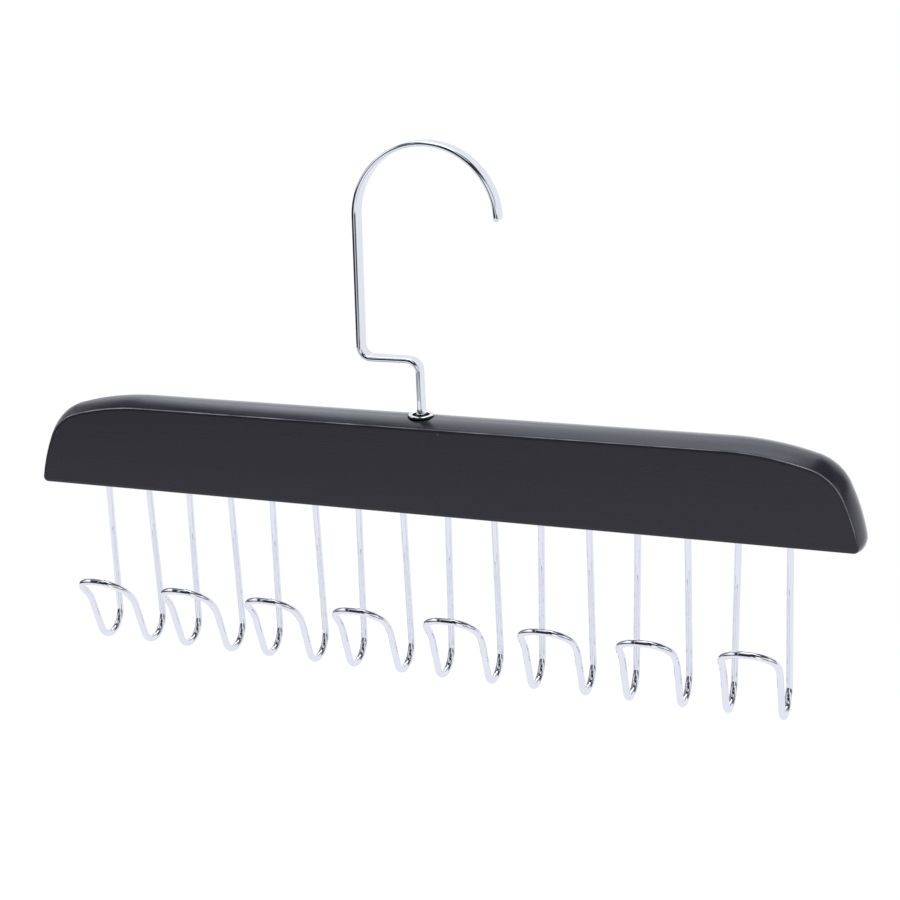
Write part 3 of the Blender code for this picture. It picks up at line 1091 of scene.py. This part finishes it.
@dataclass
class Eyelet:
    """The chromed brass eyelet that guides the shank: a rolled rim on a neck, a flat top and a sleeve."""

    bore: float = 0.0025
    mouth: float = 0.0036
    mouth_depth: float = 0.0022
    sleeve: float = 0.0035
    sleeve_length: float = 0.0080
    seat: float = 0.0376
    neck: float = 0.00474
    roll: float = 0.00068
    roll_start: float = math.radians(-80.0)
    roll_sweep: float = math.radians(170.0)
    roll_steps: int = 14
    crest: float = 0.0399
    dip: float = 0.00012
    ease: float = 0.0001
    # Its sides carry painted shade: they are darkened to stand in for the black bar that they mirror
    finish: BrightChrome = field(
        default_factory=lambda: BrightChrome(
            name="bright_chromed_brass_eyelet", colour="#F0EFEC", painted_shade_share=0.04
        )
    )

    def build(self) -> None:
        """Build and dress the eyelet."""
        low = self.seat - self.sleeve_length
        profile = [(self.bore, low), (self.sleeve, low), (self.sleeve, self.seat), (self.neck, self.seat)]
        middle = self.crest - self.roll
        for step in range(self.roll_steps + 1):
            turn = self.roll_start + self.roll_sweep * step / self.roll_steps
            profile.append((self.neck + self.roll * math.cos(turn), middle + self.roll * math.sin(turn)))
        top = self.crest - self.dip
        deep = self.crest - self.mouth_depth
        profile += [
            (self.mouth + 4 * self.ease, top),
            (self.mouth + self.ease, top),
            (self.mouth, top - self.ease),
            (self.mouth - self.ease, top - 3 * self.ease),
            (self.bore + self.ease, deep),
            (self.bore, deep - 3 * self.ease),
        ]
        eyelet = turned("eyelet_rolled", profile, 72)
        smooth(eyelet, 50.0)
        dress(eyelet, self.finish.make(), Body.BAR, "top_ferrule")


def eased_ring(name: str, bore: float, radius: float, low: float, high: float, ease: float) -> Object:
    """Turn a flat ring and ease its edges.

    Args:
        name: The ring's name.
        bore: Its inner radius.
        radius: Its outer radius.
        low: Height of its lower face above the underside.
        high: Height of its upper face.
        ease: The width of its edges' rounds.

    Returns:
        The ring.
    """
    ring = turned(name, [(bore, low), (radius, low), (radius, high), (bore, high)], 48)
    round_edges(ring, ease)
    smooth(ring)
    return ring


@dataclass
class Fasteners:
    """The washer, the lock nut and its nylon ring, in the counterbore."""

    washer_bore: float = 0.0022
    washer_radius: float = 0.0045
    washer_low: float = 0.0073
    washer_high: float = 0.0081
    washer_ease: float = 0.00012
    nut_flat: float = 0.0035
    nut_low: float = 0.0020
    collar_high: float = 0.0043
    nut_high: float = 0.0070
    # How high the turned chamfer climbs, as a share of how far the corners stand out
    chamfer_share: float = 0.6
    collar_radius: float = 0.0034
    collar_lip: float = 0.0004
    collar_ease: float = 0.00012
    groove_radius: float = 0.0030
    bore: float = 0.0022
    ring_radius: float = 0.0027
    ring_gap: float = 0.0003
    ring_height: float = 0.0009
    ring_ease: float = 0.0001
    # How far cutters stand out, how far the collar runs into the hexagon, and how far its lip covers the ring
    clear: float = 0.0001
    overrun: float = 0.001
    overlap: float = 0.0002
    cover: float = 0.0002
    plate: ZincPlate = field(default_factory=ZincPlate)
    nylon: Nylon = field(default_factory=Nylon)

    def hexagon(self) -> Object:
        """The nut's hexagon with its corners chamfered by turning.

        Returns:
            The hexagon without its bore.
        """
        corner = self.nut_flat / math.cos(math.pi / 6)
        hexagon = cylinder("nut_hexagon", corner, self.collar_high, self.nut_high, 6)
        climb = (corner - self.nut_flat) * self.chamfer_share
        low, high = self.collar_high - self.clear, self.nut_high + self.clear
        profile = [
            (0.0, low),
            (self.nut_flat, low),
            (corner + self.clear, self.collar_high + climb),
            (corner + self.clear, self.nut_high - climb),
            (self.nut_flat, high),
            (0.0, high),
        ]
        carve(hexagon, turned("nut_chamfer", profile, 96), Carving.TRIM)
        return hexagon

    def nut(self) -> Object:
        """The lock nut: the hexagon with its round collar rolled over the ring's groove.

        Returns:
            The nut.
        """
        nut = self.hexagon()
        lip_high = self.nut_low + self.collar_lip
        collar_top = self.collar_high + self.overlap
        profile = [
            (0.0, collar_top),
            (self.collar_radius, collar_top),
            (self.collar_radius, lip_high),
            (self.collar_radius - self.collar_ease, self.nut_low + self.collar_ease),
            (self.collar_radius - self.collar_lip, self.nut_low),
            (0.0, self.nut_low),
        ]
        carve(nut, turned("nut_collar", profile, 64), Carving.ADD)
        mouth = self.ring_radius - self.cover
        groove_top = self.collar_high - self.collar_lip
        hollow = [
            (0.0, self.nut_low - self.overrun),
            (mouth, self.nut_low - self.overrun),
            (mouth, lip_high),
            (self.groove_radius, lip_high),
            (self.groove_radius, groove_top),
            (self.bore, groove_top),
            (self.bore, self.nut_high + self.overrun),
            (0.0, self.nut_high + self.overrun),
        ]
        carve(nut, turned("nut_hollow", hollow, 64))
        nut.name = "nut_hexagon"
        seal(nut)
        smooth(nut, 25.0)
        return nut

    def build(self) -> None:
        """Build and dress the washer, the nut and the ring in its groove."""
        plate = self.plate.make()
        size = (self.washer_bore, self.washer_radius, self.washer_low, self.washer_high)
        washer = eased_ring("washer_pressed", *size, self.washer_ease)
        dress(washer, plate, Body.HOOK, "thrust_washer")
        dress(self.nut(), plate, Body.HOOK, "lock_nut")
        low = self.nut_low + self.collar_lip + self.ring_gap
        size = (self.bore, self.ring_radius, low, low + self.ring_height)
        ring = eased_ring("nut_ring", *size, self.ring_ease)
        dress(ring, self.nylon.make(), Body.HOOK, "lock_nut_insert")


# The wire belt hooks


@dataclass
class BeltHooks:
    """The row of chromed wire hooks: one is bent, and the others are copies of it."""

    count: int = 8
    leg_pitch: float = 0.0200
    wire_radius: float = 0.0014
    leg_length: float = 0.0615
    leg_depth: float = 0.0160
    splay: float = 0.0009
    j_radius: float = 0.0086
    j_sweep: float = math.radians(162.0)
    front_length: float = 0.0142
    flare_radius: float = 0.0188
    flare_sweep: float = math.radians(25.6)
    tail: float = 0.0114
    arch_corner: float = 0.0096
    wire_sides: int = 20
    j_steps: int = 36
    flare_steps: int = 12
    corner_steps: int = 20
    finish: BrightChrome = field(
        default_factory=lambda: BrightChrome(name="bright_chromed_steel_wire", colour="#EFF1F3")
    )

    def bend_wire(self) -> Object:
        """Draw the hairpin's centre line: down one leg, round the J, over the arch and back.

        Returns:
            The line as a chain of edges.
        """
        half = self.leg_pitch / 2
        foot = half + self.splay
        side = foot - self.arch_corner
        top = self.tail - self.arch_corner
        pen = Pen("belt_wire", Vector((half, 0.0, self.leg_depth)), DOWN)
        pen.forward(self.leg_depth, 2)
        pen.to(Vector((foot, 0.0, -self.leg_length)))
        pen.heading = DOWN.copy()
        pen.bend(FORWARD, self.j_radius, self.j_sweep, self.j_steps)
        pen.forward(self.front_length, 2)
        pen.bend(RIGHT.cross(pen.heading), self.flare_radius, self.flare_sweep, self.flare_steps)
        pen.forward(top)
        climb = pen.heading.copy()
        pen.bend(LEFT, self.arch_corner, math.pi / 2, self.corner_steps)
        pen.forward(2 * side, 2)
        pen.bend(-climb, self.arch_corner, math.pi / 2, self.corner_steps)
        pen.forward(top)
        pen.bend(LEFT.cross(pen.heading), self.flare_radius, self.flare_sweep, self.flare_steps)
        pen.forward(self.front_length, 2)
        pen.bend(RIGHT.cross(pen.heading), self.j_radius, self.j_sweep, self.j_steps)
        pen.to(Vector((-half, 0.0, 0.0)))
        pen.heading = UP.copy()
        pen.forward(self.leg_depth, 2)
        return pen.lift()

    def thicken(self, line: Object) -> Object:
        """Give the centre line its round section.

        Args:
            line: The chain of edges.

        Returns:
            The wire, closed at both ends.
        """
        take(line)
        bpy.ops.object.convert(target="CURVE")
        curve = bpy.context.object
        curve.data.bevel_depth = self.wire_radius
        curve.data.bevel_resolution = self.wire_sides // 2 - 2
        curve.data.use_fill_caps = True
        bpy.ops.object.convert(target="MESH")
        wire = bpy.context.object
        seal(wire)
        smooth(wire, 40.0)
        return wire

    def build(self) -> None:
        """Bend one wire, copy it along the bar and dress the copies."""
        first = self.thicken(self.bend_wire())
        chrome = self.finish.make()
        start = -(self.count - 1) * self.leg_pitch
        for number in range(1, self.count + 1):
            take(first)
            bpy.ops.object.duplicate(linked=False)
            wire = bpy.context.object
            wire.name = f"wire_hook_{number}"
            wire.location.x = start + 2 * self.leg_pitch * (number - 1)
            settle(wire)
            dress(wire, chrome, Body.BAR, f"belt_hook_{number}")
        bpy.data.objects.remove(first, do_unlink=True)


# The studio

# The room's light is a little bluer than the camera's white
COOL = (0.965, 0.98, 1.08, 1.0)
WHITE = (1.0, 1.0, 1.0, 1.0)


@dataclass(frozen=True)
class PaperFloor(Finish):
    """White matt paper off a roll, lit from above until it is as white as the backdrop.

    Its tooth takes every shine off it, so it gives the eye an even white.
    """

    name: str = "white_paper_floor"
    colour: str = "#F4F4F4"
    metallic: float = 0.0
    roughness: float = 0.9
    # Fibres are far thinner than this, which is too fine to show, so the tooth is coarser
    fibre: float = 1 / 900
    tooth_height: float = 0.0001
    tooth_strength: float = 0.05
    # How much of it glows where it is seen or mirrored, how strongly, and how much more where it is seen
    glow_share: float = 0.85
    glow: float = 0.86
    glow_seen: float = 0.20

    def make(self) -> Material:
        """Build the material.

        Returns:
            The finished material.
        """
        material, tree, shader, where = self.blank()
        sizes = {"Vector": where, "Scale": 1 / self.fibre, "Detail": 2.0}
        fibres = add_node(tree, "TexNoise", inputs=sizes).outputs["Fac"]
        heights = {"Strength": self.tooth_strength, "Distance": self.tooth_height, "Height": fibres}
        tooth = add_node(tree, "Bump", inputs=heights).outputs["Normal"]
        feed(tree, shader, {"Normal": tooth})
        rays = add_node(tree, "LightPath").outputs
        seen, mirrored = rays["Is Camera Ray"], rays["Is Glossy Ray"]
        either = add_node(tree, "Math", GREATER, {0: seen, 1: mirrored}).outputs[0]
        share = add_node(tree, "Math", PRODUCT, {0: either, 1: self.glow_share}).outputs[0]
        levels = {0: seen, 1: self.glow_seen, 2: self.glow}
        strength = add_node(tree, "Math", PRODUCT_AND_SUM, levels).outputs[0]
        tint = add_node(tree, "Mix", COLOURS, {0: seen, 6: COOL, 7: WHITE}).outputs[2]
        glow = add_node(tree, "Emission", inputs={"Color": tint, "Strength": strength})
        both = add_node(tree, "MixShader", inputs={0: share, 1: shader.outputs[0], 2: glow.outputs[0]})
        feed(tree, tree.nodes["Material Output"], {"Surface": both.outputs[0]})
        return material


@dataclass(frozen=True)
class Patch:
    """A soft round part of the room, by its direction in degrees, with its level.

    Azimuth runs from the back towards the right, and height from the horizon up. From its middle the part is
    full as far as full, and it ends at end.
    """

    azimuth: float
    height: float
    full: float
    end: float
    level: float

    def share(self, tree: NodeTree, where: NodeSocket) -> NodeSocket:
        """Tell how far a direction is in the part.

        Args:
            tree: The world's node tree.
            where: The direction that is looked in.

        Returns:
            1 in the part and 0 outside.
        """
        across, up = math.radians(self.azimuth), math.radians(self.height)
        aim = (math.sin(across) * math.cos(up), math.cos(across) * math.cos(up), math.sin(up))
        near = add_node(tree, "VectorMath", {"operation": "DOT_PRODUCT"}, {0: where, 1: aim})
        end, full = math.cos(math.radians(self.end)), math.cos(math.radians(self.full))
        return within(tree, [span(near.outputs["Value"], end, full)], SMOOTH)


@dataclass(frozen=True)
class Window:
    """A soft square part of the room, with its level.

    For X, Y and Z of the direction it says where the part starts, is full, is still full and ends. None of
    them goes above 1, so the part is open on a side that is given as 2 and 3.
    """

    across: tuple[float, float, float, float]
    back: tuple[float, float, float, float]
    up: tuple[float, float, float, float]
    level: float

    def share(self, tree: NodeTree, where: NodeSocket) -> NodeSocket:
        """Tell how far a direction is in the part.

        Args:
            tree: The world's node tree.
            where: The direction that is looked in.

        Returns:
            1 in the part and 0 outside.
        """
        parts = add_node(tree, "SeparateXYZ", inputs={0: where}).outputs
        spans = []
        for part, (start, full, last, end) in zip(parts, (self.across, self.back, self.up)):
            sides = [ends for ends in ((start, full), (end, last)) if min(map(abs, ends)) <= 1.0]
            spans += [span(part, *ends) for ends in sides]
        return within(tree, spans, SMOOTH)


@dataclass
class Studio:
    """A pale floor far below the hanger, a white backdrop, soft boxes and the camera."""

    camera_place: Vector = field(default_factory=lambda: Vector((0.2442, -0.6235, 0.09285)))
    yaw: float = math.radians(20.92)
    pitch: float = math.radians(17.91)
    roll: float = math.radians(-2.34)
    lens: float = 69.18
    sensor: float = 36.0
    nearest: float = 0.01
    floor_drop: float = 0.75
    floor_radius: float = 1.3
    floor_sides: int = 96
    paper: PaperFloor = field(default_factory=PaperFloor)
    lamp_aim: Vector = field(default_factory=lambda: Vector((0.0, 0.0, -0.12)))
    # Each soft box: its side, its middle, its width and height, and its power in watts
    soft_boxes: tuple[tuple[str, tuple[float, float, float], tuple[float, float], float], ...] = (
        ("left", (-0.95, -0.55, 0.65), (0.7, 0.9), 12.0),
        ("right", (1.0, -0.35, 0.85), (0.7, 0.9), 12.0),
        ("top", (0.15, 0.25, 1.1), (0.8, 0.5), 8.0),
    )
    # The room's level for light that bounces, and for gloss below and above the ceiling's edge
    bounce: float = 0.62
    wall: float = 0.92
    ceiling: float = 0.05
    ceiling_limits: tuple[float, float] = (0.46, 0.60)
    # The lamps and dark flags that gloss mirrors, the later ones over the earlier
    mirrored: tuple[Patch | Window, ...] = (
        Patch(-125.0, 50.0, 20.0, 32.0, 0.75),
        Patch(-71.0, 16.0, 6.0, 13.0, 0.08),
        Patch(80.0, 54.0, 12.0, 19.0, 0.08),
        Patch(-90.0, 38.0, 9.0, 13.0, 1.60),
        Patch(119.0, 66.0, 8.0, 13.0, 1.30),
        Window((-0.52, -0.45, -0.30, -0.20), (0.46, 0.62, 2.0, 3.0), (0.34, 0.44, 0.68, 0.82), 2.30),
        Window((-0.40, -0.32, 0.10, 0.25), (0.05, 0.35, 2.0, 3.0), (0.46, 0.58, 2.0, 3.0), 1.60),
        Window((-0.36, -0.16, 0.10, 0.25), (-0.10, 0.10, 2.0, 3.0), (0.80, 0.92, 2.0, 3.0), 2.60),
        Window((-0.48, -0.42, 0.50, 0.66), (-3.0, -2.0, -0.40, -0.22), (0.00, 0.14, 0.78, 0.88), 0.02),
        Window((-3.0, -2.0, -0.12, 0.02), (-3.0, -2.0, 0.78, 0.92), (-0.320, -0.235, 0.04, 0.16), 0.03),
        Window((0.66, 0.76, 2.0, 3.0), (-0.60, -0.48, 0.28, 0.44), (-0.320, -0.235, -0.08, 0.00), 0.10),
        Window((-0.04, 0.08, 0.84, 0.92), (-3.0, -2.0, -0.52, -0.42), (-0.320, -0.235, 0.06, 0.18), 0.08),
        Window((0.15, 0.24, 0.46, 0.56), (-3.0, -2.0, -0.60, -0.50), (-0.320, -0.235, 0.26, 0.38), 1.15),
        Window((0.50, 0.62, 2.0, 3.0), (0.22, 0.34, 0.80, 0.90), (0.02, 0.14, 0.55, 0.62), 0.15),
        Window((-3.0, -2.0, -0.72, -0.62), (0.40, 0.52, 0.80, 0.90), (-0.12, 0.0, 0.45, 0.60), 0.20),
        Window((-0.70, -0.62, -0.49, -0.45), (-3.0, -2.0, -0.16, 0.02), (0.02, 0.14, 0.90, 0.97), 0.04),
    )

    def camera(self) -> None:
        """Set the camera where the photograph was taken from."""
        side = Vector((math.cos(self.yaw), math.sin(self.yaw), 0.0))
        level = Vector((-math.sin(self.yaw), math.cos(self.yaw), 0.0))
        facing = level * math.cos(self.pitch) - UP * math.sin(self.pitch)
        above = side.cross(facing)
        across = side * math.cos(self.roll) + above * math.sin(self.roll)
        upright = above * math.cos(self.roll) - side * math.sin(self.roll)
        data = bpy.data.cameras.new("studio_camera")
        data.lens = self.lens
        data.sensor_width = self.sensor
        data.clip_start = self.nearest
        camera = bpy.data.objects.new("studio_camera", data)
        bpy.context.scene.collection.objects.link(camera)
        turn = Matrix((across, upright, -facing)).transposed().to_4x4()
        camera.matrix_world = Matrix.Translation(self.camera_place) @ turn
        bpy.context.scene.camera = camera

    def soft_box(self, side: str, place: Vector, size: tuple[float, float], power: float) -> None:
        """Hang one soft box that faces the hanger.

        Args:
            side: The side of the hanger that it is on.
            place: Its middle.
            size: Its width and height.
            power: Its power in watts.
        """
        name = f"soft_box_{side}"
        lamp = bpy.data.lights.new(name, "AREA")
        lamp.shape = "RECTANGLE"
        lamp.size, lamp.size_y = size
        lamp.energy = power
        box = bpy.data.objects.new(name, lamp)
        bpy.context.scene.collection.objects.link(box)
        box.location = place
        box.rotation_euler = (place - self.lamp_aim).to_track_quat("Z", "Y").to_euler()
        box.visible_camera = False
        box.visible_glossy = False

    def floor(self) -> None:
        """Lay the paper floor under the hanger."""
        deselect_all()
        place = DOWN * self.floor_drop
        bpy.ops.mesh.primitive_circle_add(
            vertices=self.floor_sides, radius=self.floor_radius, fill_type="NGON", location=place
        )
        floor = named("studio_floor")
        floor.data.materials.append(self.paper.make())

    def room(self) -> None:
        """Paint the room that gloss mirrors: white walls, a dim ceiling, soft boxes and dark flags."""
        world = bpy.data.worlds.new("studio_room")
        world.use_nodes = True
        bpy.context.scene.world = world
        tree = world.node_tree
        direction = add_node(tree, "TexCoord").outputs["Generated"]
        height = add_node(tree, "SeparateXYZ", inputs={0: direction}).outputs["Z"]
        level = within(tree, [span(height, *self.ceiling_limits, self.wall, self.ceiling)], SMOOTH)
        for part in self.mirrored:
            share = part.share(tree, direction)
            level = add_node(tree, "Mix", LEVELS, {0: share, 2: level, 3: part.level}).outputs[0]
        rays = add_node(tree, "LightPath").outputs
        seen, glossy, through = rays["Is Camera Ray"], rays["Is Glossy Ray"], rays["Is Transmission Ray"]
        mirrored = add_node(tree, "Math", GREATER, {0: glossy, 1: through}).outputs[0]
        unseen = add_node(tree, "Mix", LEVELS, {0: mirrored, 2: self.bounce, 3: level}).outputs[0]
        shown = add_node(tree, "Mix", LEVELS, {0: seen, 2: unseen, 3: 1.0}).outputs[0]
        tint = add_node(tree, "Mix", COLOURS, {0: seen, 6: COOL, 7: WHITE}).outputs[2]
        feed(tree, tree.nodes["Background"], {"Strength": shown, "Color": tint})

    def build(self) -> None:
        """Set up the whole studio."""
        self.camera()
        self.floor()
        self.room()
        for side, place, size, power in self.soft_boxes:
            self.soft_box(side, Vector(place), size, power)
        bpy.context.scene.view_settings.view_transform = "Standard"
        log.info("studio: camera, floor, room and %d soft boxes", len(self.soft_boxes))


def main() -> None:
    """Build the hanger's pieces in order, then the studio."""
    logging.basicConfig(level=logging.INFO, format="%(message)s", force=True)
    WoodenBar().build()
    SwivelHook().build()
    Eyelet().build()
    Fasteners().build()
    BeltHooks().build()
    Studio().build()


if __name__ == "__main__":
    main()
